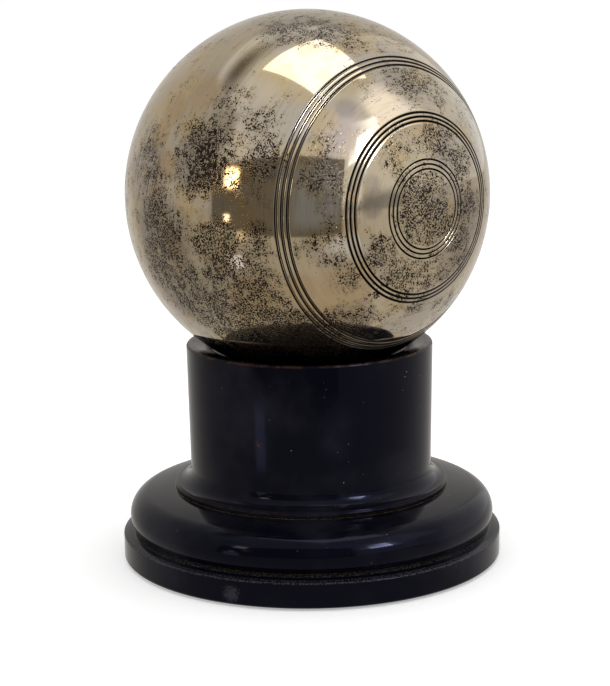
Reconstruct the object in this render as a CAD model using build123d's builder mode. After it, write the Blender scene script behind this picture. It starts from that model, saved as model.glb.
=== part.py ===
"""Engraved metal boule lying in the hollowed top of a turned, ebonised wooden stand.

Millimetres, +Z up. The origin is the centre of the stand's underside, on the surface
that it stands on. The engraved faces of the boule look along -Y and +Y.
"""

import os
from math import asin, atan2, cos, degrees, radians, sin, sqrt, tan

from build123d import *

# ---- boule -------------------------------------------------------------------------
BALL_R = 38.0  # radius of the running band between the two engraved faces
BALL_Z = 77.4  # height of its centre while it lies in its seat
WALL = 5.7  # shell wall, for a boule of about 700 g
FACE_POLE = 36.25  # middle of a face from the centre: the faces are a little flat
FACE_R = 57.0  # radius of the flatter middle of a face
SHOULDER_R = 18.0  # blend between the flatter middle and the running band
WELD_WIDTH = 3.0  # weld metal at the skin
WELD_DEPTH = 2.6

# Engraved rings: distance of a group's middle ring from the axis, and the rings' spacing.
RING_GROUPS = ((8.8, 0.93), (17.85, 0.82), (28.3, 0.76))
GROOVE_WIDTH = 0.46
GROOVE_DEPTH = 0.34

# ---- stand: radii from its axis, heights above the surface --------------------------
PLINTH_R = 40.4
PLINTH_Z = 0.4  # the rim's underside, just clear of the surface
PLINTH_EASE = 0.4  # eased lower edge of the rim
PLINTH_ARRIS_Z = 5.6  # where the side meets the worn, sloping top band
PLINTH_ARRIS = 0.35  # rounding of that arris
PLINTH_TOP_Z = 6.6
MOULDING_R = 38.85
NOSE_R = 4.9  # bull nose of the moulding
NOSE_Z = 9.6  # height of the nose's centre
TOP_SLOPE = 10.0  # degrees from level, from the nose up to the column
FOOT_R = 29.1  # edge of the column's flared foot
FOOT_EDGE = 0.9  # upright edge of the foot
FOOT_STEP = 0.35  # small step from that edge up to the cove
COVE_R = 3.1  # hollow between foot and column
DRUM_R_LOW = 25.65  # column, just above the cove
DRUM_R_TOP = 26.05  # column at the rim: it widens slightly upwards
RIM_Z = 46.1
RIM_ARRIS = 0.5
QUIRK = 0.35  # turned chamfer that marks each joint between two pieces

# ---- seat in the column's top --------------------------------------------------------
MOUTH_R = 24.6  # inner edge of the narrow level rim
SEAT_GAP = 0.3  # between boule and seat
SEAT_TOP_R = 21.0  # where the rim's inward slope meets the dished seat
SEAT_LOW_R = 16.5  # where the dished seat ends and the well begins
WELL_FLOOR_Z = 33.0
WELL_FILLET = 3.0

# ---- hidden joints -------------------------------------------------------------------
TENON_R = 12.0
TENON_GAP = 0.4  # the tenon stops this far above the plinth
RECESS_R = 36.0  # recess under the plinth for the baize
RECESS_Z = 1.8
PAD_R = 35.5
PAD_EDGE = 0.4
SCREW_R = 2.5
SCREW_HEAD_R = 4.8
SCREW_HEAD_Z = 2.1  # face of the countersunk head, just above the baize
SCREW_NECK_Z = 4.4
SCREW_TAPER_Z = 22.0
SCREW_TIP_Z = 27.0
SLOT_WIDTH = 1.0
SLOT_DEPTH = 0.9

# ---- places worked out from the sizes above ------------------------------------------
BALL_CENTRE = (0, 0, BALL_Z)
FACE_AXIS = Axis(BALL_CENTRE, (0, 1, 0))
INNER_R = BALL_R - WALL
# Sketch planes through the boule's axis: local x is the distance from the axis, and
# local y runs from the centre towards the face.
FRONT_FACE = Plane(BALL_CENTRE, x_dir=(1, 0, 0), z_dir=(0, 0, -1))
BACK_FACE = Plane(BALL_CENTRE, x_dir=(1, 0, 0), z_dir=(0, 0, 1))

# Three arcs make the skin of a face, each tangent to the next, so that each joint lies
# in line with the centres of its two arcs.
cap_y = FACE_POLE - FACE_R
cap_reach = FACE_R - SHOULDER_R
band_reach = BALL_R - SHOULDER_R
shoulder_y = (cap_y**2 - cap_reach**2 + band_reach**2) / (2 * cap_y)
shoulder_x = sqrt(band_reach**2 - shoulder_y**2)
band_end_angle = degrees(atan2(shoulder_y, shoulder_x))
cap_end_angle = degrees(atan2(shoulder_y - cap_y, shoulder_x))
weld_angle = degrees(asin(WELD_WIDTH / 2 / BALL_R))

nose_x = MOULDING_R - NOSE_R
nose_foot_angle = degrees(asin((PLINTH_TOP_Z + QUIRK - NOSE_Z) / NOSE_R))
nose_foot_x = nose_x + NOSE_R * cos(radians(nose_foot_angle))
nose_top_angle = 90 - TOP_SLOPE
nose_top_x = nose_x + NOSE_R * cos(radians(nose_top_angle))
nose_top_z = NOSE_Z + NOSE_R * sin(radians(nose_top_angle))
foot_z = nose_top_z + (nose_top_x - FOOT_R) * tan(radians(TOP_SLOPE))
tenon_z = PLINTH_TOP_Z + TENON_GAP
cove_z = foot_z + FOOT_EDGE + FOOT_STEP + COVE_R
cove_x = DRUM_R_LOW + COVE_R

seat_r = BALL_R + SEAT_GAP
seat_top_angle = -degrees(atan2(sqrt(seat_r**2 - SEAT_TOP_R**2), SEAT_TOP_R))
seat_low_angle = -degrees(atan2(sqrt(seat_r**2 - SEAT_LOW_R**2), SEAT_LOW_R))


def skin_at(distance):
    """Local y of a face's skin and the tilt of its slope, at a distance from the axis."""
    if distance < FACE_R * cos(radians(cap_end_angle)):
        centre_x, centre_y, radius = 0, cap_y, FACE_R
    elif distance < BALL_R * cos(radians(band_end_angle)):
        centre_x, centre_y, radius = shoulder_x, shoulder_y, SHOULDER_R
    else:
        centre_x, centre_y, radius = 0, 0, BALL_R
    rise = sqrt(radius**2 - (distance - centre_x) ** 2)
    return centre_y + rise, degrees(atan2(distance - centre_x, rise))


os.makedirs("parts", exist_ok=True)

# ---- sections that more than one piece is cut to -----------------------------------------
# Half section of a half-shell: three tangent arcs outside, one inside, weld V at the edge.
with BuildSketch() as half_shell_section:
    with BuildLine():
        band = CenterArc((0, 0), BALL_R, weld_angle, band_end_angle - weld_angle)
        shoulder_arc = cap_end_angle - band_end_angle
        CenterArc((shoulder_x, shoulder_y), SHOULDER_R, band_end_angle, shoulder_arc)
        face = CenterArc((0, cap_y), FACE_R, cap_end_angle, 90 - cap_end_angle)
        inside = CenterArc((0, 0), INNER_R, 0, 90)
        Line(face @ 1, inside @ 1)
        Polyline(inside @ 0, (BALL_R - WELD_DEPTH, 0), band @ 0)
    make_face()
    # A pointed tool cuts each engraved ring, square to the skin.
    above_skin = GROOVE_DEPTH / 2
    half_mouth = GROOVE_WIDTH / 2 * (GROOVE_DEPTH + above_skin) / GROOVE_DEPTH
    tool = ((0, -GROOVE_DEPTH), (half_mouth, above_skin), (-half_mouth, above_skin))
    for middle, spacing in RING_GROUPS:
        for distance in (middle - spacing, middle, middle + spacing):
            skin_y, tilt = skin_at(distance)
            with Locations((distance, skin_y)):
                Polygon(*tool, rotation=-tilt, align=None, mode=Mode.SUBTRACT)

# Half section of the screw: countersunk head, shank and point.
with BuildSketch() as screw_section:
    with BuildLine():
        Polyline(
            (0, SCREW_HEAD_Z),
            (SCREW_HEAD_R, SCREW_HEAD_Z),
            (SCREW_R, SCREW_NECK_Z),
            (SCREW_R, SCREW_TAPER_Z),
            (0, SCREW_TIP_Z),
            close=True,
        )
    make_face()

# ---- boule: two half-shells, joined at the running band --------------------------------
with BuildPart() as half_shell_front:
    with BuildSketch(FRONT_FACE):
        add(half_shell_section.sketch)
    revolve(axis=FACE_AXIS)
half_shell_front.part.label = "half_shell_front"
export_step(half_shell_front.part, "parts/half_shell_front.step")

with BuildPart() as half_shell_back:
    with BuildSketch(BACK_FACE):
        add(half_shell_section.sketch)
    revolve(axis=FACE_AXIS)
half_shell_back.part.label = "half_shell_back"
export_step(half_shell_back.part, "parts/half_shell_back.step")

# Weld metal in the V between the half-shells, machined flush with the skin.
with BuildPart() as weld_ring:
    with BuildSketch(BACK_FACE):
        with BuildLine():
            skin = CenterArc((0, 0), BALL_R, -weld_angle, 2 * weld_angle)
            Polyline(skin @ 1, (BALL_R - WELD_DEPTH, 0), skin @ 0)
        make_face()
    revolve(axis=FACE_AXIS)
weld_ring.part.label = "weld_ring"
export_step(weld_ring.part, "parts/weld_ring.step")

# ---- stand -------------------------------------------------------------------------------
# Turned column: dished seat and well on top, cove and stepped foot, tenon below.
with BuildPart() as stand_drum:
    with BuildSketch(Plane.XZ):
        with BuildLine():
            cove = CenterArc((cove_x, cove_z), COVE_R, 180, 90)
            seat_arc = seat_low_angle - seat_top_angle
            seat = CenterArc((0, BALL_Z), seat_r, seat_top_angle, seat_arc)
            Polyline(cove @ 0, (DRUM_R_TOP, RIM_Z), (MOUTH_R, RIM_Z), seat @ 0)
            Polyline(
                seat @ 1,
                (SEAT_LOW_R, WELL_FLOOR_Z),
                (0, WELL_FLOOR_Z),
                (0, tenon_z),
                (TENON_R, tenon_z),
                (TENON_R, foot_z),
                (FOOT_R - QUIRK, foot_z),
                (FOOT_R, foot_z + QUIRK),
                (FOOT_R, foot_z + FOOT_EDGE),
                (cove_x, foot_z + FOOT_EDGE),
                cove @ 1,
            )
        make_face()
    revolve(axis=Axis.Z)
    rim_edges = stand_drum.edges().filter_by_position(Axis.Z, RIM_Z, RIM_Z)
    fillet(rim_edges.filter_by(GeomType.CIRCLE).sort_by(SortBy.RADIUS)[-1], RIM_ARRIS)
    floor_edges = stand_drum.edges().filter_by_position(Axis.Z, WELL_FLOOR_Z, WELL_FLOOR_Z)
    fillet(floor_edges.filter_by(GeomType.CIRCLE), WELL_FILLET)
    with BuildSketch(Plane.XZ):
        add(screw_section.sketch)
    revolve(axis=Axis.Z, mode=Mode.SUBTRACT)
stand_drum.part.label = "stand_drum"
export_step(stand_drum.part, "parts/stand_drum.step")

# Bull-nose moulding: its top slopes up to the column's foot, its bore takes the tenon.
with BuildPart() as base_moulding:
    with BuildSketch(Plane.XZ):
        with BuildLine():
            nose_arc = nose_top_angle - nose_foot_angle
            nose = CenterArc((nose_x, NOSE_Z), NOSE_R, nose_foot_angle, nose_arc)
            Polyline(
                nose @ 1,
                (FOOT_R, foot_z),
                (TENON_R, foot_z),
                (TENON_R, PLINTH_TOP_Z),
                (nose_foot_x - QUIRK, PLINTH_TOP_Z),
                nose @ 0,
            )
        make_face()
    revolve(axis=Axis.Z)
base_moulding.part.label = "base_moulding"
export_step(base_moulding.part, "parts/base_moulding.step")

# Plinth: worn sloping band round its top, recess for the baize, countersunk screw hole.
with BuildPart() as plinth:
    with BuildSketch(Plane.XZ):
        with BuildLine():
            Polyline(
                (0, RECESS_Z),
                (RECESS_R, RECESS_Z),
                (RECESS_R, PLINTH_Z),
                (PLINTH_R - PLINTH_EASE, PLINTH_Z),
                (PLINTH_R, PLINTH_Z + PLINTH_EASE),
                (PLINTH_R, PLINTH_ARRIS_Z),
                (nose_foot_x, PLINTH_TOP_Z),
                (0, PLINTH_TOP_Z),
                close=True,
            )
        make_face()
    revolve(axis=Axis.Z)
    arris_edges = plinth.edges().filter_by_position(Axis.Z, PLINTH_ARRIS_Z, PLINTH_ARRIS_Z)
    fillet(arris_edges.filter_by(GeomType.CIRCLE), PLINTH_ARRIS)
    with BuildSketch(Plane.XZ):
        add(screw_section.sketch)
    revolve(axis=Axis.Z, mode=Mode.SUBTRACT)
    with BuildSketch(Plane.XY.offset(RECESS_Z)):
        Circle(SCREW_HEAD_R)
    extrude(amount=SCREW_HEAD_Z - RECESS_Z, mode=Mode.SUBTRACT)
plinth.part.label = "plinth"
export_step(plinth.part, "parts/plinth.step")

# Slotted, countersunk wood screw up the axis, from the recess into the column.
with BuildPart() as centre_screw:
    with BuildSketch(Plane.XZ):
        add(screw_section.sketch)
    revolve(axis=Axis.Z)
    with BuildSketch(Plane.XY.offset(SCREW_HEAD_Z)):
        Rectangle(3 * SCREW_HEAD_R, SLOT_WIDTH)
    extrude(amount=SLOT_DEPTH, mode=Mode.SUBTRACT)
centre_screw.part.label = "centre_screw"
export_step(centre_screw.part, "parts/centre_screw.step")

# Baize disc that fills the recess and stands the plinth's rim clear of the surface.
with BuildPart() as felt_pad:
    with BuildSketch():
        Circle(PAD_R)
    extrude(amount=RECESS_Z)
    chamfer(felt_pad.faces().sort_by(Axis.Z)[0].edges(), PAD_EDGE)
felt_pad.part.label = "felt_pad"
export_step(felt_pad.part, "parts/felt_pad.step")
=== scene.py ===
"""Engraved metal boule lying in the hollowed top of a turned, ebonised wooden stand.

Sizes are in millimetres until they go into a mesh, a lamp or a material.
"""

from math import asin, atan2, cos, degrees, pi, radians, sin, sqrt, tan

import bpy
import numpy as np
from mathutils import Matrix, Vector


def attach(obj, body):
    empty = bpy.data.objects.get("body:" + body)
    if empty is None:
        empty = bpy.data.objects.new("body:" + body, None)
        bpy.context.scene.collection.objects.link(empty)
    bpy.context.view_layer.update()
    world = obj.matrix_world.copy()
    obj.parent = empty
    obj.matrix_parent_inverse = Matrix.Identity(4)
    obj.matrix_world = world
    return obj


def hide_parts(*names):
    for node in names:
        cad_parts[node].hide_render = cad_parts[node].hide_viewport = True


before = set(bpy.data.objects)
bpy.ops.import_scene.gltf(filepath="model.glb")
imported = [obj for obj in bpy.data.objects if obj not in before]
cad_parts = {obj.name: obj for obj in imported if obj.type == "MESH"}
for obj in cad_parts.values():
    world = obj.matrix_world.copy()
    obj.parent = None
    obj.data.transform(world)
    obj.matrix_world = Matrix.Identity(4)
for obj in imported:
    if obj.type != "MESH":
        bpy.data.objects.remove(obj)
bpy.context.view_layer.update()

MM = 0.001

# ---- boule -------------------------------------------------------------------------
BALL_R = 38.0
BALL_Z = 77.4
INNER_R = 32.3
FACE_POLE = 36.25
FACE_R = 57.0
SHOULDER_R = 18.0
WELD_WIDTH = 3.0
WELD_DEPTH = 2.6
# Engraved rings: a group's middle ring from the axis, the spacing and a groove's width.
RING_GROUPS = ((8.8, 0.93, 0.44), (17.85, 0.82, 0.58), (28.3, 0.76, 0.78))
GROOVE_DEPTH = 0.34
FACE_EDGE_R = 30.5  # just outside the widest ring
SPIN_STEPS = 256

# Edges of the section across a groove, across a face, along the running band and inside.
GROOVE_CUTS, FACE_CUTS, BAND_CUTS, INSIDE_CUTS = 10, 56, 40, 18
GROOVE_MARGIN = 1.1  # a face's other edges stay this many half widths away from a groove
MERGE_WITHIN = 0.004
SMOOTH_ANGLE = 35

# Wear of the skin, as patches: azimuth and elevation from the boule's middle, reach, strength.
PATCH_SOLID = 0.4  # share of its reach out to which a patch has its full strength
PATCH_GONE = 1.15
LANDS_LEFT_CLEAR = 0.3  # how much less the lands between the engraved rings are pitted
LANDS_REACH = 1.8  # half widths of a groove that its lands reach out to
PATINA_SPREAD = 0.94  # below 1 the patina reaches farther up a groove's sides
STREAK_TURN = 3  # the pattern's way round the rings is a circle of this radius
NEAREST_THE_AXIS = 0.01
PITTED = [
    (-53, 64, 7, 0.8), (-37, 66, 8, 0.95), (-23, 62, 6, 0.8),
    (-67, 34, 6, 0.6), (-62, 24, 6, 0.65), (-56, 26, 5, 0.75), (-54, 16, 6, 0.85),
    (-57, 8, 5, 0.7), (-74, 21, 7, 1), (-73, 13, 7, 1), (-80, 16, 5, 0.8),
    (-100, 18, 7, 0.7), (-93, 6, 7, 0.8), (-91, -7, 8, 0.9), (-92, -17, 9, 0.95),
    (-69, -8, 8, 0.9), (-59, -9, 7, 0.85), (-64, -17, 9, 0.95), (-55, -20, 8, 0.9),
    (-86, -24, 9, 0.9), (-74, -32, 9, 0.9), (-61, -29, 9, 0.9), (-35, 11, 6, 0.75),
    (-33, 23, 4, 0.5), (-4, 5, 7, 0.95), (-4, -2, 7, 0.95), (6, 21, 6, 0.95),
    (14, 12, 6, 0.95), (-8, 23, 4, 0.6), (-13, 15, 3, 0.6), (19, 0, 5, 0.9),
    (15, -14, 6, 0.9), (-17, -12, 5, 0.9), (-11, -19, 6, 0.9), (4, -20, 7, 0.85),
    (-5, 3, 7, 1.3), (3, -4, 6, 1.3), (2, 41, 6, 0.7), (14, 35, 5, 0.6),
    (-37, -6, 5, 0.55), (-33, -13, 5, 0.7), (-28, -19, 4, 0.65), (-26, -33, 6, 0.6),
    (-33, -34, 6, 0.7), (-48, -39, 10, 0.95), (-32, -42, 9, 0.9), (-2, -28, 6, 0.65),
    (18, -35, 6, 0.65),
]
RUBBED = [
    (-42, 47, 8, 0.8), (-55, 46, 7, 0.6), (-90, 44, 12, 0.5), (-109, 37, 9, 0.5),
    (-75, 46, 8, 0.5), (-29, 32, 7, 0.6), (-39, 32, 7, 0.5), (-43, 0, 5, 0.6),
    (-27, -8, 4, 0.6), (-40, -22, 6, 0.6), (-22, 11, 5, 0.6), (-21, -1, 4, 0.5),
    (-29, -26, 4, 0.6), (-3, 26, 3, 0.5), (-13, 4, 3, 0.6), (-72, 3, 4, 0.6), (-59, 2, 5, 0.6),
]
STAINED = [
    (-91, -10, 12, 0.9), (-92, -22, 12, 0.8), (-74, 16, 9, 0.7), (-100, 12, 10, 0.5),
    (19, -4, 8, 0.7), (15, -16, 8, 0.7), (-64, -20, 14, 0.45), (-26, -34, 7, 0.6),
    (-48, -40, 12, 0.6), (-27, 32, 3, 0.6), (-21, 9, 3, 0.6), (-21, 2, 3, 0.8),
    (-3, 41, 4, 0.5), (-68, 26, 4, 0.5), (8, 17, 5, 0.5),
]
BLACKENED = [
    (-71, 23, 3, 0.9), (-73, 18, 4, 1), (-67, 17, 3, 0.9), (-70, 13, 4, 1), (-76, 11, 3, 0.8),
    (-79, 16, 3, 0.7), (-85, 16, 3, 0.6), (-74, 6, 3, 0.6), (-96, -4, 4, 0.7),
    (-84, -2, 4, 0.75), (-92, -9, 3, 0.6), (-92, -17, 3, 0.6), (-87, -23, 3, 0.5),
    (-75, -34, 3, 0.6), (8, 18, 3, 0.9), (10, 15, 3, 0.8), (17, 5, 3, 0.8), (17, -1, 3, 0.85),
    (2, 5, 3, 0.7), (-1, 9, 2, 0.6), (-20, -10, 3, 0.7), (-17, -14, 2, 0.7), (-6, -21, 3, 0.6),
    (3, -19, 3, 0.6), (14, -12, 3, 0.7), (-19, -25, 2, 1), (-33, -38, 5, 0.7), (-48, -41, 5, 0.8),
]
WARMED = [
    (-93, 31, 5, 0.7), (-96, 23, 4, 0.8), (-89, 14, 4, 0.7), (-93, 6, 3, 0.6), (-81, 37, 6, 0.6),
    (-111, 5, 3, 0.6), (-85, -10, 4, 0.6), (-59, 13, 3, 0.6), (-58, -25, 8, 0.6),
    (-43, -22, 5, 0.6), (-29, -22, 8, 0.6), (3, 24, 4, 0.6), (-35, -35, 10, 0.7),
]

# ---- stand -------------------------------------------------------------------------
PLINTH_R = 40.4
PLINTH_Z = 0.4
PLINTH_CHAMFER = 0.4
PLINTH_EASE = 0.2
PLINTH_ARRIS_Z = 5.6
PLINTH_TOP_Z = 6.6
MOULDING_R = 38.85
NOSE_R = 4.9
NOSE_Z = 9.6
TOP_SLOPE = 10.0
FOOT_R = 29.1
FOOT_EDGE = 0.9
FOOT_STEP = 0.35
COVE_R = 3.1
DRUM_R_LOW = 25.65
DRUM_R_TOP = 26.05
DRUM_EASE = 0.1
RIM_Z = 46.1
RIM_ARRIS = 0.5
QUIRK = 0.35
MOUTH_R = 24.6
SEAT_GAP = 0.3
SEAT_TOP_R = 21.0
SEAT_LOW_R = 16.5
WELL_FLOOR_Z = 33.0
WELL_FILLET = 3.0
TENON_R = 12.0
TENON_GAP = 0.4
RECESS_R = 36.0
RECESS_Z = 1.8
PAD_R = 35.5
PAD_Z = 0.05  # the baize's underside
PAD_EASE = 0.3
PAD_CUTS = 24
SCREW_R = 2.5
SCREW_HEAD_R = 4.8
SCREW_HEAD_Z = 2.1
SCREW_NECK_Z = 4.4
SCREW_TAPER_Z = 22.0
SCREW_TIP_Z = 27.0

# ---- places worked out from the sizes above ------------------------------------------
cap_y = FACE_POLE - FACE_R
cap_reach = FACE_R - SHOULDER_R
band_reach = BALL_R - SHOULDER_R
shoulder_y = (cap_y**2 - cap_reach**2 + band_reach**2) / (2 * cap_y)
shoulder_x = sqrt(band_reach**2 - shoulder_y**2)
cap_end = FACE_R * shoulder_x / cap_reach
band_end = BALL_R * shoulder_x / band_reach
weld_angle = degrees(asin(WELD_WIDTH / 2 / BALL_R))

nose_x = MOULDING_R - NOSE_R
nose_foot_angle = degrees(asin((PLINTH_TOP_Z + QUIRK - NOSE_Z) / NOSE_R))
nose_foot_x = nose_x + NOSE_R * cos(radians(nose_foot_angle))
nose_top_x = nose_x + NOSE_R * sin(radians(TOP_SLOPE))
nose_top_z = NOSE_Z + NOSE_R * cos(radians(TOP_SLOPE))
foot_z = nose_top_z + (nose_top_x - FOOT_R) * tan(radians(TOP_SLOPE))
tenon_z = PLINTH_TOP_Z + TENON_GAP
cove_z = foot_z + FOOT_EDGE + FOOT_STEP + COVE_R
cove_x = DRUM_R_LOW + COVE_R
seat_r = BALL_R + SEAT_GAP
seat_top_angle = -degrees(atan2(sqrt(seat_r**2 - SEAT_TOP_R**2), SEAT_TOP_R))
seat_low_angle = -degrees(atan2(sqrt(seat_r**2 - SEAT_LOW_R**2), SEAT_LOW_R))


# ---- shapes ---------------------------------------------------------------------------
def arc(centre, radius, start, end, pieces):
    """Points of an arc between two angles, in degrees."""
    turns = [radians(start + (end - start) * i / pieces) for i in range(pieces + 1)]
    return [(centre[0] + radius * cos(t), centre[1] + radius * sin(t)) for t in turns]


def skin_at(distance):
    """Height of a face's skin and the direction of its slope, at a distance from the axis."""
    if distance < cap_end:
        centre_x, centre_y, radius = 0, cap_y, FACE_R
    elif distance < band_end:
        centre_x, centre_y, radius = shoulder_x, shoulder_y, SHOULDER_R
    else:
        centre_x, centre_y, radius = 0, 0, BALL_R
    rise = sqrt(radius**2 - (distance - centre_x) ** 2)
    return centre_y + rise, atan2(distance - centre_x, rise)


def groove_share(offset):
    """Depth of a groove as a share of its full depth, from -1 to 1 across its width."""
    return cos(offset * pi / 2) ** 2 if abs(offset) < 1 else 0


grooves = [
    (middle + turn * spacing, width)
    for middle, spacing, width in RING_GROUPS
    for turn in (-1, 0, 1)
]


def half_shell_profile():
    """Half section of a half-shell: weld edge, skin with its grooves, pole and inside."""
    band_angle = degrees(atan2(sqrt(BALL_R**2 - FACE_EDGE_R**2), FACE_EDGE_R))
    points = arc((0, 0), BALL_R, weld_angle, band_angle, BAND_CUTS)[:-1]
    plain = [FACE_EDGE_R * (1 - i / FACE_CUTS) for i in range(FACE_CUTS + 1)]
    cuts = []
    for distance, width in grooves:
        half = width / 2 * cos(skin_at(distance)[1])
        plain = [p for p in plain if abs(p - distance) > half * GROOVE_MARGIN]
        for i in range(GROOVE_CUTS + 1):
            offset = 1 - 2 * i / GROOVE_CUTS
            cuts.append((distance + half * offset, groove_share(offset)))
    cuts += [(distance, 0) for distance in plain]
    for distance, share in sorted(cuts, reverse=True):
        height, tilt = skin_at(distance)
        deep = GROOVE_DEPTH * share
        points.append((distance - deep * sin(tilt), height - deep * cos(tilt)))
    points += arc((0, 0), INNER_R, 90, 0, INSIDE_CUTS)
    points += [(BALL_R - WELD_DEPTH, 0), points[0]]
    return points


def turned(name, profile, along_y=0, steps=SPIN_STEPS):
    """A turned piece: a vertex is drawn out along the half section, which is spun round.

    The section gives distances from the axis and heights along it. The axis is +Z through
    the origin, or +Y or -Y through the middle of the boule where along_y is 1 or -1."""
    if along_y:
        centre, axis = Vector((0, 0, BALL_Z)), (0, 1, 0)
        places = [centre + Vector((x, along_y * y, 0)) for x, y in profile]
    else:
        centre, axis = Vector((0, 0, 0)), (0, 0, 1)
        places = [Vector((x, 0, y)) for x, y in profile]
    bpy.ops.object.select_all(action="DESELECT")
    bpy.ops.mesh.primitive_plane_add(size=MM, location=(0, 0, 0))
    piece = bpy.context.object
    piece.name = piece.data.name = name
    bpy.ops.object.mode_set(mode="EDIT")
    bpy.ops.mesh.merge(type="CENTER")
    bpy.ops.transform.translate(value=places[0] * MM)
    for here, there in zip(places, places[1:]):
        move = {"value": (there - here) * MM}
        bpy.ops.mesh.extrude_region_move(TRANSFORM_OT_translate=move)
    bpy.ops.mesh.select_all(action="SELECT")
    bpy.ops.mesh.spin(steps=steps, angle=2 * pi, center=centre * MM, axis=axis)
    bpy.ops.mesh.select_all(action="SELECT")
    bpy.ops.mesh.remove_doubles(threshold=MERGE_WITHIN * MM)
    bpy.ops.mesh.normals_make_consistent(inside=False)
    bpy.ops.object.mode_set(mode="OBJECT")
    bpy.ops.object.shade_smooth_by_angle(angle=radians(SMOOTH_ANGLE))
    return piece


def ease_arrises(piece, width):
    """Rounds the sharp arrises of a turned piece with a small bevel."""
    bevel = piece.modifiers.new("eased arrises", "BEVEL")
    bevel.width = width * MM
    bevel.segments = 3
    bevel.limit_method = "ANGLE"
    bevel.angle_limit = radians(28)
    bpy.context.view_layer.objects.active = piece
    bpy.ops.object.modifier_apply(modifier=bevel.name)
    bpy.ops.object.shade_smooth_by_angle(angle=radians(40))


def outward(azimuth, elevation):
    """A direction from the boule's middle: azimuth from -Y towards +X, in degrees."""
    a, e = radians(azimuth), radians(elevation)
    return np.array((sin(a) * cos(e), -cos(a) * cos(e), sin(e)))


def patched(points, patches):
    """How strongly each point is covered by round, soft-edged patches on the skin."""
    cover = np.zeros(len(points))
    for azimuth, elevation, reach, strength in patches:
        away = np.linalg.norm(points - BALL_R * outward(azimuth, elevation), axis=1)
        fade = (PATCH_GONE - PATCH_SOLID) * reach
        share = np.clip((PATCH_GONE * reach - away) / fade, 0, 1)
        cover = np.maximum(cover, strength * share * share * (3 - 2 * share))
    return cover


def weather(shell):
    """Marks a shell's patina, pits, stains and tints, and the way along its rings."""
    points = np.empty(3 * len(shell.data.vertices))
    shell.data.vertices.foreach_get("co", points)
    points = points.reshape(-1, 3) / MM - (0, 0, BALL_Z)
    distances = np.hypot(points[:, 0], points[:, 2])
    outside = np.linalg.norm(points, axis=1) > (INNER_R + FACE_POLE) / 2
    depth = np.zeros(len(points))
    lands = np.zeros(len(points))
    for ring, width in grooves:
        offset = (distances - ring) / (width / 2 * cos(skin_at(ring)[1]))
        near = outside & (abs(offset) < 1)
        depth[near] = np.cos(offset[near] * PATINA_SPREAD * pi / 2) ** 2
        lands[outside & (abs(offset) < LANDS_REACH)] = LANDS_LEFT_CLEAR
    marks = {
        "groove": depth,
        "corrosion": patched(points, PITTED) - patched(points, RUBBED) - lands,
        "stain": patched(points, STAINED),
        "blackening": patched(points, BLACKENED),
        "warmth": patched(points, WARMED),
    }
    for name, values in marks.items():
        mark = shell.data.attributes.new(name, "FLOAT", "POINT")
        mark.data.foreach_set("value", values)
    # Millimetres across the rings, and a slowly turning direction along them.
    across = BALL_R * np.arctan2(distances, points[:, 1])
    along = points[:, (0, 2)] / np.maximum(distances, NEAREST_THE_AXIS)[:, None]
    along = along * STREAK_TURN
    mark = shell.data.attributes.new("with_the_rings", "FLOAT_VECTOR", "POINT")
    mark.data.foreach_set("vector", np.column_stack((across, along)).ravel())


shell_front = turned("half_shell_front_turned", half_shell_profile(), along_y=-1)
shell_back = turned("half_shell_back_turned", half_shell_profile(), along_y=1)

weld_skin = arc((0, 0), BALL_R, -weld_angle, weld_angle, pieces=4)
weld = turned("weld_ring_turned", weld_skin + [(BALL_R - WELD_DEPTH, 0), weld_skin[0]], 1)
for shell in (shell_front, shell_back, weld):
    weather(shell)

well_fillet = (SEAT_LOW_R - WELL_FILLET, WELL_FLOOR_Z + WELL_FILLET)
rim_round = (DRUM_R_TOP - RIM_ARRIS, RIM_Z - RIM_ARRIS)
drum = turned(
    "drum_turned",
    [(0, WELL_FLOOR_Z)]
    + arc(well_fillet, WELL_FILLET, -90, 0, pieces=8)
    + arc((0, BALL_Z), seat_r, seat_low_angle, seat_top_angle, pieces=12)
    + [(MOUTH_R, RIM_Z)]
    + arc(rim_round, RIM_ARRIS, 90, 0, pieces=6)
    + arc((cove_x, cove_z), COVE_R, 180, 270, pieces=14)
    + [
        (cove_x, foot_z + FOOT_EDGE),
        (FOOT_R, foot_z + FOOT_EDGE),
        (FOOT_R, foot_z + QUIRK),
        (FOOT_R - QUIRK, foot_z),
        (TENON_R, foot_z),
        (TENON_R, tenon_z),
        (SCREW_R, tenon_z),
        (SCREW_R, SCREW_TAPER_Z),
        (0, SCREW_TIP_Z),
    ],
)
ease_arrises(drum, DRUM_EASE)

moulding = turned(
    "moulding_turned",
    arc((nose_x, NOSE_Z), NOSE_R, nose_foot_angle, 90 - TOP_SLOPE, pieces=26)
    + [
        (FOOT_R, foot_z),
        (TENON_R, foot_z),
        (TENON_R, PLINTH_TOP_Z),
        (nose_foot_x - QUIRK, PLINTH_TOP_Z),
        (nose_foot_x, PLINTH_TOP_Z + QUIRK),
    ],
)

plinth = turned(
    "plinth_turned",
    [
        (SCREW_HEAD_R, SCREW_HEAD_Z),
        (SCREW_HEAD_R, RECESS_Z),
        (RECESS_R, RECESS_Z),
        (RECESS_R, PLINTH_Z),
        (PLINTH_R - PLINTH_CHAMFER, PLINTH_Z),
        (PLINTH_R, PLINTH_Z + PLINTH_CHAMFER),
        (PLINTH_R, PLINTH_ARRIS_Z),
        (nose_foot_x, PLINTH_TOP_Z),
        (SCREW_R, PLINTH_TOP_Z),
        (SCREW_R, SCREW_NECK_Z),
        (SCREW_HEAD_R, SCREW_HEAD_Z),
    ],
)
ease_arrises(plinth, PLINTH_EASE)

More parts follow.
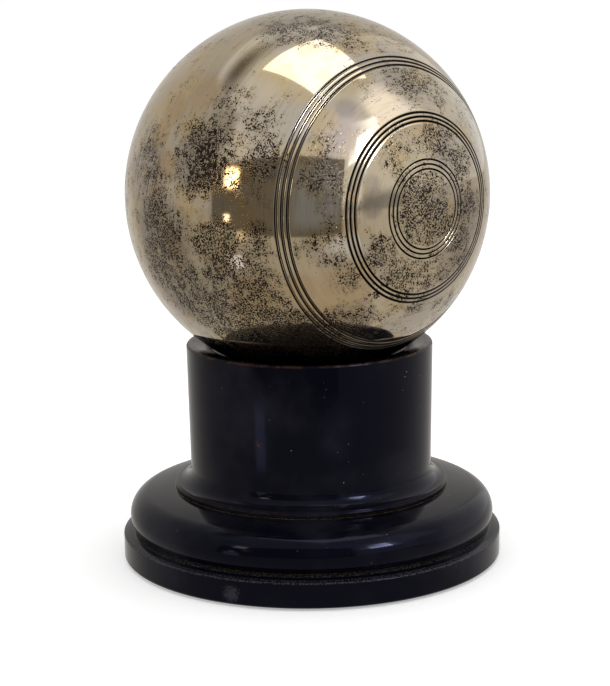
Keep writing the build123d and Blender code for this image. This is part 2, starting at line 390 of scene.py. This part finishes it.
baize = turned(
    "baize_disc",
    [(0, RECESS_Z)]
    + arc((PAD_R - PAD_EASE, RECESS_Z - PAD_EASE), PAD_EASE, 90, 0, pieces=4)
    + arc((PAD_R - PAD_EASE, PAD_Z + PAD_EASE), PAD_EASE, 0, -90, pieces=4)
    + [(PAD_R * (1 - i / PAD_CUTS), PAD_Z) for i in range(1, PAD_CUTS + 1)],
    steps=SPIN_STEPS // 2,
)

# ---- materials --------------------------------------------------------------------------
MATH, VECTOR, MIX = "ShaderNodeMath", "ShaderNodeVectorMath", "ShaderNodeMix"
NOISE, RANGE, MARK = "ShaderNodeTexNoise", "ShaderNodeMapRange", "ShaderNodeAttribute"
PLACE, SURFACE = "ShaderNodeTexCoord", "ShaderNodeBsdfPrincipled"
FACTOR, A, B, MIXED = 0, 6, 7, 2  # sockets of a Mix node that is set to colour
# A Map Range node is fed a value, the range that it comes from and the range it goes to.
EASED ={"interpolation_type": "SMOOTHSTEP"}
COLOURS = {"data_type": "RGBA", "out": MIXED}


def colour(hex_code):
    """Linear colour of an sRGB hex code."""
    parts = [int(hex_code[i : i + 2], 16) / 255 for i in (0, 2, 4)]
    return [p / 12.92 if p <= 0.04045 else ((p + 0.055) / 1.055) ** 2.4 for p in parts] + [1]


def add(tree, kind, feeds=(), out=0, **settings):
    """Adds a node and returns one of its outputs. Feeds are values or other nodes' outputs,
    for its inputs in order, or in a dict by name or number."""
    made = tree.nodes.new(kind)
    for name, value in settings.items():
        setattr(made, name, value)
    for socket, value in feeds.items() if isinstance(feeds, dict) else enumerate(feeds):
        if isinstance(value, bpy.types.NodeSocket):
            tree.links.new(value, made.inputs[socket])
        else:
            made.inputs[socket].default_value = value
    return made.outputs[out] if made.outputs else None


def material(name):
    """An empty material and its node tree."""
    made = bpy.data.materials.new(name)
    made.use_nodes = True
    made.node_tree.nodes.clear()
    return made, made.node_tree


def millimetres(tree):
    """Where a point of the piece lies, in millimetres, so that a scale is a count per mm."""
    place = add(tree, PLACE, out="Object")
    return add(tree, VECTOR, {0: place, "Scale": 1 / MM}, operation="SCALE")


# Steel, turned and polished, then left to tarnish: warm and mirror-like where it is clean,
# eaten into black specks in drifts, and filled with black patina in the engraved rings.
boule_steel, tree = material("tarnished_turned_steel")
place = add(tree, VECTOR, (millimetres(tree), (0, 0, -BALL_Z)), operation="ADD")
corrosion, stain, groove, blackening, warmth = (
    add(tree, MARK, out="Fac", attribute_name=name)
    for name in ("corrosion", "stain", "groove", "blackening", "warmth")
)
rings = add(tree, MARK, out="Vector", attribute_name="with_the_rings")
# Sizes in mm. The grain of the pits is a little coarser than on the real steel.
cloud, drift, patch, rag, clot, grain = (
    add(tree, NOISE, {"Vector": place, "Scale": 1 / size, "Detail": detail})
    for size, detail in ((17, 3), (8, 3), (2.6, 3), (1.1, 2), (0.7, 3), (0.3, 3))
)
streak = add(tree, NOISE, {"Vector": rings, "Scale": 1.6, "Detail": 3})
polish = add(tree, NOISE, {"Vector": rings, "Scale": 6, "Detail": 2})

# How thickly the skin is pitted: 0 is nearly clean, 1 is speckled all over.
density = add(tree, MATH, (corrosion, 0.33), operation="ADD")
for wander, weight in ((drift, 1.7), (patch, 2.4), (rag, 1.8), (streak, 1.2)):
    swing = add(tree, MATH, (wander, weight, -weight / 2), operation="MULTIPLY_ADD")
    density = add(tree, MATH, (density, swing), operation="ADD")
threshold = add(tree, RANGE, (density, 0, 1.3, 0.70, 0.455))
over = add(tree, MATH, (grain, threshold), operation="SUBTRACT")
specks = add(tree, MATH, (over, 22), operation="MULTIPLY", use_clamp=True)
threshold = add(tree, RANGE, (blackening, 0, 1, 0.74, 0.47))
over = add(tree, MATH, (clot, threshold), operation="SUBTRACT")
clots = add(tree, MATH, (over, 18), operation="MULTIPLY", use_clamp=True)
pits = add(tree, MATH, (specks, clots), operation="MAXIMUM")
patina = add(tree, RANGE, (groove, 0.02, 0.28), **EASED)

skin = colour("bbad94")
for share, low, high, most, tone in (
    (cloud, 0.42, 0.60, 1, "aea495"),
    (warmth, 0.05, 0.8, 0.6, "ac8d62"),
    (drift, 0.50, 0.66, 0.7, "b9a47c"),
    (streak, 0.50, 0.68, 0.25, "8f857a"),
    (density, 0.1, 1, 0.35, "8a7a5c"),
    (stain, 0.1, 0.8, 0.4, "686163"),
):
    layer = add(tree, RANGE, (share, low, high, 0, most), **EASED)
    skin = add(tree, MIX, {FACTOR: layer, A: skin, B: colour(tone)}, **COLOURS)
bloom = add(tree, RANGE, (rag, 0.4, 0.6), **EASED)
rust = add(tree, MIX, {FACTOR: bloom, A: colour("2c2117"), B: colour("120e0b")}, **COLOURS)
skin = add(tree, MIX, {FACTOR: pits, A: skin, B: rust}, **COLOURS)
skin = add(tree, MIX, {FACTOR: patina, A: skin, B: colour("120e0b")}, **COLOURS)

dull = add(tree, MATH, (pits, patina), operation="MAXIMUM")
sheen = add(tree, MATH, (streak, 0.04, 0.02), operation="MULTIPLY_ADD")
sheen = add(tree, MATH, (stain, 0.08, sheen), operation="MULTIPLY_ADD")
sheen = add(tree, MATH, (patch, 0.04, sheen), operation="MULTIPLY_ADD")
roughness = add(tree, MATH, (dull, 0.3, sheen), operation="MULTIPLY_ADD")
metallic = add(tree, RANGE, (dull, 0, 1, 1, 0.85))
relief = add(tree, "ShaderNodeBump", {"Height": polish, "Distance": 0.0003 * MM})
relief = add(
    tree,
    "ShaderNodeBump",
    {"Height": pits, "Distance": 0.008 * MM, "Normal": relief},
    invert=True,
)
surface = add(
    tree,
    SURFACE,
    {"Base Color": skin, "Metallic": metallic, "Roughness": roughness, "Normal": relief},
)
add(tree, "ShaderNodeOutputMaterial", (surface,))

# Fruitwood, stained black and French polished: blue-black with a clear gloss under a film
# of dust, rubbed brown on the rim, grey and scratched on the plinth, with wax in the quirks.
ebonised, tree = material("ebonised_polished_wood")
BLACK_STAIN = "070711"
RUBBED_LINES = [  # distance from the axis, height, reach and how much is rubbed through
    (DRUM_R_TOP - 0.1, RIM_Z - 0.1, 0.5, 0.8),
    (MOUTH_R, RIM_Z, 0.3, 0.5),
    (FOOT_R, foot_z + FOOT_EDGE, 0.22, 0.4),
]
SCRATCHED_LINES = [
    (PLINTH_R - 0.15, PLINTH_ARRIS_Z + 0.1, 0.4, 0.6),
    (PLINTH_R - 0.7, PLINTH_ARRIS_Z + 0.5, 0.5, 0.35),
    (nose_foot_x + 0.3, PLINTH_TOP_Z - 0.1, 0.5, 0.45),
]
WAXED_LINES = [
    (FOOT_R + 0.05, foot_z + 0.1, 0.36, 0.5),
    (nose_foot_x - 0.1, PLINTH_TOP_Z + 0.15, 0.3, 0.45),
]
NICK = (-23.4, -10.9, 29.4)
SCUFF = (-36.3, -17.6, 2.6)
RAGGED_BY = 4.5  # how far, in mm, the edge of a nick or a scuff strays

place = millimetres(tree)
level = add(tree, VECTOR, (place, (1, 1, 0)), operation="MULTIPLY")
radius = add(tree, VECTOR, (level,), operation="LENGTH", out=1)
height = add(tree, "ShaderNodeSeparateXYZ", (place,), out=2)
section = add(tree, "ShaderNodeCombineXYZ", (radius, height))
film, worn, scratch, speck = (
    add(tree, NOISE, {"Vector": place, "Scale": 1 / size, "Detail": detail})
    for size, detail in ((14, 4), (1.8, 3), (0.3, 3), (0.5, 1))
)

wood = colour(BLACK_STAIN)
hazy = add(tree, RANGE, (film, 0.45, 0.75, 0, 0.10), **EASED)
wood = add(tree, MIX, {FACTOR: hazy, A: wood, B: colour("55555e")}, **COLOURS)
bare = None
for lines, breaks, low, high, tone in (
    (RUBBED_LINES, worn, 0.36, 0.62, "452a1c"),
    (SCRATCHED_LINES, scratch, 0.40, 0.66, "5d5a5a"),
    (WAXED_LINES, scratch, 0.38, 0.62, "776a4a"),
):
    shares = []
    for line_radius, line_height, reach, most in lines:
        at = (line_radius, line_height, 0)
        away = add(tree, VECTOR, (section, at), operation="DISTANCE", out=1)
        shares.append(add(tree, RANGE, (away, reach, reach * 0.3, 0, most), **EASED))
    share = shares[0]
    for other in shares[1:]:
        share = add(tree, MATH, (share, other), operation="MAXIMUM")
    broken = add(tree, RANGE, (breaks, low, high), **EASED)
    share = add(tree, MATH, (share, broken), operation="MULTIPLY")
    wood = add(tree, MIX, {FACTOR: share, A: wood, B: colour(tone)}, **COLOURS)
    bare = share if bare is None else add(tree, MATH, (bare, share), operation="MAXIMUM")
for at, reach, most, tone in ((NICK, 0.9, 0.6, "5b3a26"), (SCUFF, 2.2, 0.22, "6c6870")):
    away = add(tree, VECTOR, (place, at), operation="DISTANCE", out=1)
    ragged = add(tree, MATH, (scratch, RAGGED_BY, away), operation="MULTIPLY_ADD")
    share = add(tree, RANGE, (ragged, reach + 2.0, reach + 1.0, 0, most), **EASED)
    wood = add(tree, MIX, {FACTOR: share, A: wood, B: colour(tone)}, **COLOURS)
    bare = add(tree, MATH, (bare, share), operation="MAXIMUM")
dust = add(tree, RANGE, (speck, 0.80, 0.84, 0, 0.7))
wood = add(tree, MIX, {FACTOR: dust, A: wood, B: colour("bdb8ae")}, **COLOURS)

gloss = add(tree, MATH, (film, 0.12, 0.03), operation="MULTIPLY_ADD")
roughness = add(tree, MATH, (bare, 0.35, gloss), operation="MULTIPLY_ADD")
relief = add(tree, "ShaderNodeBump", {"Height": scratch, "Distance": 0.004 * MM, "Strength": bare})
surface = add(
    tree,
    SURFACE,
    {
        "Base Color": wood,
        "Roughness": roughness,
        "Normal": relief,
        "IOR": 1.2,
        "Specular Tint": colour("d2d4ff"),
    },
)
add(tree, "ShaderNodeOutputMaterial", (surface,))

# Wool baize: deep green, its weave nearly hidden under a felted nap that lies in swirls.
wool, tree = material("felted_wool_baize")
place = millimetres(tree)
nap = add(tree, NOISE, {"Vector": place, "Scale": 0.3, "Detail": 4, "Distortion": 1.5})
fibre = add(tree, NOISE, {"Vector": place, "Scale": 5, "Detail": 3, "Distortion": 2})
weave = add(tree, "ShaderNodeTexWave", {"Vector": place, "Scale": 0.5, "Distortion": 2})
cloth = colour("1c3a29")
for share, low, high, most, tone in (
    (nap, 0.4, 0.65, 0.6, "27492f"),
    (fibre, 0.45, 0.65, 0.7, "35573c"),
    (weave, 0, 1, 0.25, "142c1f"),
):
    layer = add(tree, RANGE, (share, low, high, 0, most), **EASED)
    cloth = add(tree, MIX, {FACTOR: layer, A: cloth, B: colour(tone)}, **COLOURS)
relief = add(tree, "ShaderNodeBump", {"Height": fibre, "Distance": 0.15 * MM})
surface = add(
    tree,
    SURFACE,
    {"Base Color": cloth, "Roughness": 0.95, "Sheen Weight": 0.4, "Normal": relief},
)
add(tree, "ShaderNodeOutputMaterial", (surface,))

# Mild steel, turned: fine rings from the tool on its head, plain grey with darker stains.
screw_steel, tree = material("turned_mild_steel")
place = millimetres(tree)
level = add(tree, VECTOR, (place, (1, 1, 0)), operation="MULTIPLY")
radius = add(tree, VECTOR, (level,), operation="LENGTH", out=1)
tooling = add(tree, NOISE, {"W": radius, "Scale": 6, "Detail": 2}, noise_dimensions="1D")
tarnish = add(tree, NOISE, {"Vector": place, "Scale": 0.5, "Detail": 4})
darker = add(tree, RANGE, (tarnish, 0.42, 0.65, 0, 0.8), **EASED)
metal = add(
    tree, MIX, {FACTOR: darker, A: colour("9a9793"), B: colour("6b655e")}, **COLOURS
)
roughness = add(tree, MATH, (tarnish, 0.4, 0.15), operation="MULTIPLY_ADD")
relief = add(tree, "ShaderNodeBump", {"Height": tooling, "Distance": 0.01 * MM})
surface = add(
    tree,
    SURFACE,
    {"Base Color": metal, "Metallic": 1, "Roughness": roughness, "Normal": relief},
)
add(tree, "ShaderNodeOutputMaterial", (surface,))

# ---- pieces and the bodies that they ride on -----------------------------------------------
for piece, node, body, slot, finish in (
    (shell_front, "half_shell_front", "boule", "boule_metal", boule_steel),
    (shell_back, "half_shell_back", "boule", "boule_metal", boule_steel),
    (weld, "weld_ring", "boule", "boule_metal", boule_steel),
    (drum, "stand_drum", "stand", "stand_wood", ebonised),
    (moulding, "base_moulding", "stand", "stand_wood", ebonised),
    (plinth, "plinth", "stand", "stand_wood", ebonised),
    (baize, "felt_pad", "stand", "baize", wool),
):
    piece.data.materials.clear()
    piece.data.materials.append(finish)
    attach(piece, body)
    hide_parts(node)
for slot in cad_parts["centre_screw"].material_slots:
    slot.material = screw_steel


# ---- floor, light and camera -----------------------------------------------------------------
def seen_directly(tree):
    """1 for what the camera, a reflection or clear glass looks at, and 0 for other light."""
    path = add(tree, "ShaderNodeLightPath").node.outputs
    direct = path["Is Camera Ray"]
    for ray in ("Is Glossy Ray", "Is Transmission Ray"):
        direct = add(tree, MATH, (direct, path[ray]), operation="MAXIMUM")
    return direct


FILL = 0.72  # strength of the even light from all round
FLOOR_SIZE = 6  # metres
FLOOR_KEEPS = 0.92  # share of the floor's look that the lamps make, which takes the shadow
FLOOR_GLOW = 1.02 - FLOOR_KEEPS * FILL  # makes the far floor as white as the world

world = bpy.data.worlds.new("studio")
bpy.context.scene.world = world
world.use_nodes = True
tree = world.node_tree
tree.nodes.clear()
strength = add(tree, RANGE, {0: seen_directly(tree), "To Min": FILL, "To Max": 1})
even_light = add(tree, "ShaderNodeBackground", ((1, 1, 1, 1), strength))
add(tree, "ShaderNodeOutputWorld", (even_light,))

bpy.ops.object.select_all(action="DESELECT")
bpy.ops.mesh.primitive_plane_add(size=FLOOR_SIZE, location=(0, 0, 0))
floor = bpy.context.object
floor.name = "floor"
white_floor, tree = material("white_paper_sweep")
lit = add(tree, "ShaderNodeBsdfDiffuse", ((0.8, 0.8, 0.8, 1),))
shaded = add(tree, "ShaderNodeBsdfDiffuse", ((FLOOR_KEEPS, FLOOR_KEEPS, FLOOR_KEEPS, 1),))
glow = add(tree, "ShaderNodeEmission", ((1, 1, 1, 1), FLOOR_GLOW))
shown = add(tree, "ShaderNodeAddShader", (shaded, glow))
add(
    tree,
    "ShaderNodeOutputMaterial",
    (add(tree, "ShaderNodeMixShader", (seen_directly(tree), lit, shown)),),
)
floor.data.materials.append(white_floor)

# The softbox hangs level, a little right of the object.
SOFTBOX_UP = 0.9  # above the boule's middle, in metres
SOFTBOX_ASIDE = (0.092, -0.032)  # how far off the stand's axis, as a share of that height
SOFTBOX_SIDES = (0.61, 0.63)  # as a share of that height
SOFTBOX_BRIGHTNESS = 2.2
ceiling_z = BALL_Z * MM + SOFTBOX_UP

overhead = bpy.data.lights.new("overhead_softbox", "AREA")
overhead.shape = "RECTANGLE"
overhead.size, overhead.size_y = (side * SOFTBOX_UP for side in SOFTBOX_SIDES)
overhead.energy = SOFTBOX_BRIGHTNESS * pi * overhead.size * overhead.size_y
softbox = bpy.data.objects.new("overhead_softbox", overhead)
bpy.context.scene.collection.objects.link(softbox)
softbox.location = (*(aside * SOFTBOX_UP for aside in SOFTBOX_ASIDE), ceiling_z)
softbox.rotation_euler.z = radians(3)


def card(name, corners, hex_code, strength=1.0, soft=0.0):
    """A flat card with its corners in metres, seen only in reflections.

    It fades out towards its edges over a share of its half width."""
    bpy.ops.object.select_all(action="DESELECT")
    bpy.ops.mesh.primitive_plane_add(size=1, location=(0, 0, 0))
    made = bpy.context.object
    made.name = name
    for vertex, corner in zip(made.data.vertices, corners):
        vertex.co = corner
    made.visible_camera = made.visible_diffuse = made.visible_shadow = False
    made.visible_transmission = made.visible_volume_scatter = False
    paint, tree = material(name)
    shown = add(tree, "ShaderNodeEmission", (colour(hex_code), strength))
    if soft:
        spot = add(tree, "ShaderNodeSeparateXYZ", (add(tree, PLACE, out="UV"),)).node.outputs
        solid = 1.0
        for run in (spot[0], spot[1]):
            rise = add(tree, MATH, (run, 0.5), operation="SUBTRACT")
            rise = add(tree, MATH, (rise,), operation="ABSOLUTE")
            rise = add(tree, RANGE, (rise, 0.5, 0.5 - soft / 2), **EASED)
            solid = add(tree, MATH, (solid, rise), operation="MULTIPLY")
        clear = add(tree, "ShaderNodeBsdfTransparent")
        shown = add(tree, "ShaderNodeMixShader", (solid, clear, shown))
    add(tree, "ShaderNodeOutputMaterial", (shown,))
    made.data.materials.append(paint)


def facing_card(name, azimuths, elevations, distance, hex_code, strength=1.0, soft=0.0):
    """A card between angles as seen from the boule's middle, at a distance in metres."""
    centre = np.array((0, 0, BALL_Z * MM))
    corners = [centre + distance * outward(a, e) for e in elevations for a in azimuths]
    card(name, corners, hex_code, strength, soft)


def standing_card(name, azimuth, distance, sides, heights, hex_code, strength=1.0, soft=0.0):
    """An upright card square to an azimuth, at a distance from the stand's axis.

    Its sides are in metres from its middle, and its heights from the table."""
    middle, aside = distance * outward(azimuth, 0), outward(azimuth + 90, 0)
    up = np.array((0, 0, 1))
    corners = [middle + side * aside + z * up for z in heights for side in sides]
    card(name, corners, hex_code, strength, soft)


def level_card(name, xs, ys, height, hex_code, soft=0.0):
    """A level card between two values of x and two of y, in metres."""
    card(name, [(x, y, height) for y in ys for x in xs], hex_code, soft=soft)


ROOM_HEIGHTS = (0.0, 0.208)
WALLS = {"elevations": (-10, 48), "distance": 1.3, "hex_code": "d9d5cf", "soft": 0.2}

standing_card("dark_room", -47, 0.24, (-0.307, 0.15), ROOM_HEIGHTS, "7d766c", soft=0.06)
standing_card("room_far_side", -47, 0.235, (-0.03, 0.15), ROOM_HEIGHTS, "9a9da2", soft=0.5)
facing_card("window_panes", (-4, 12), (20, 36), 0.66, "f2f4ff", strength=55, soft=0.1)
facing_card("window", (-12, 20), (18, 46), 0.7, "eef2ff", strength=3.4, soft=0.2)
facing_card("window_glow", (-36, 22), (12, 60), 0.75, "f4f2ff", strength=1.3, soft=0.8)
facing_card("window_below", (-8, 10), (-4, 26), 0.72, "dfe6ff", strength=1.5, soft=0.3)
facing_card("dark_corner", (-14, 34), (-19, 3), 0.9, "a8a8ab", soft=0.4)
facing_card("wall_by_window", (10, 62), (20, 62), 0.9, "fbfaff", strength=1.9, soft=0.6)
for name, azimuth, distance, half_width, heights, hex_code, strength, soft in (
    ("lamp", -85, 0.23, 0.022, (0.105, 0.163), "ffe2b8", 10, 0.5),
    ("lamp_stem", -87, 0.23, 0.010, (0.036, 0.060), "ffe9cc", 5, 0.6),
    ("low_strip", -83, 0.12, 0.010, (0.002, 0.023), "e8ecff", 2.2, 0.2),
    ("low_glint", -76, 0.124, 0.008, (0.034, 0.054), "ffeccc", 1.6, 0.8),
):
    sides = (-half_width, half_width)
    standing_card(name, azimuth, distance, sides, heights, hex_code, strength, soft)
level_card("dark_ceiling", (-0.78, 0.34), (0.27, 0.68), ceiling_z, "857b6e", soft=0.95)
for azimuths in ((-245, -190), (-210, -140), (-165, -95)):
    facing_card("grey_wall", azimuths, **WALLS)
# Three cards lie on the floor, the smallest on top, so that each hides what is under it.
level_card("lit_table", (-0.12, 0.0), (-0.28, -0.12), 0.3 * MM, "ffffff", soft=0.7)
level_card("grey_table", (-1.5, 0.05), (-1.5, 1.5), 0.2 * MM, "d0cabf", soft=0.2)
level_card("pale_table", (-2.5, 2.5), (-2.5, 2.5), 0.1 * MM, "dfdbd6")

# The camera stands in front, to the left of the engraved face and a little above it.
CAMERA_AT = (-0.26125, -0.30477, 0.12789)
LOOKS_ALONG = Vector((0.63581, 0.74522, -0.20096))
TILT = radians(-0.803)
LENS = 101.42
SENSOR_WIDTH = 36
NEAREST_SEEN = 0.01

camera = bpy.data.objects.new("camera", bpy.data.cameras.new("camera"))
bpy.context.scene.collection.objects.link(camera)
bpy.context.scene.camera = camera
camera.data.lens = LENS
camera.data.sensor_width = SENSOR_WIDTH
camera.data.clip_start = NEAREST_SEEN
level_right = LOOKS_ALONG.cross(Vector((0, 0, 1))).normalized()
level_up = level_right.cross(LOOKS_ALONG).normalized()
right = cos(TILT) * level_right + sin(TILT) * level_up
up = -sin(TILT) * level_right + cos(TILT) * level_up
turn = Matrix((right, up, -LOOKS_ALONG)).transposed()
camera.matrix_world = Matrix.Translation(CAMERA_AT) @ turn.to_4x4()

bpy.context.scene.view_settings.view_transform = "Standard"
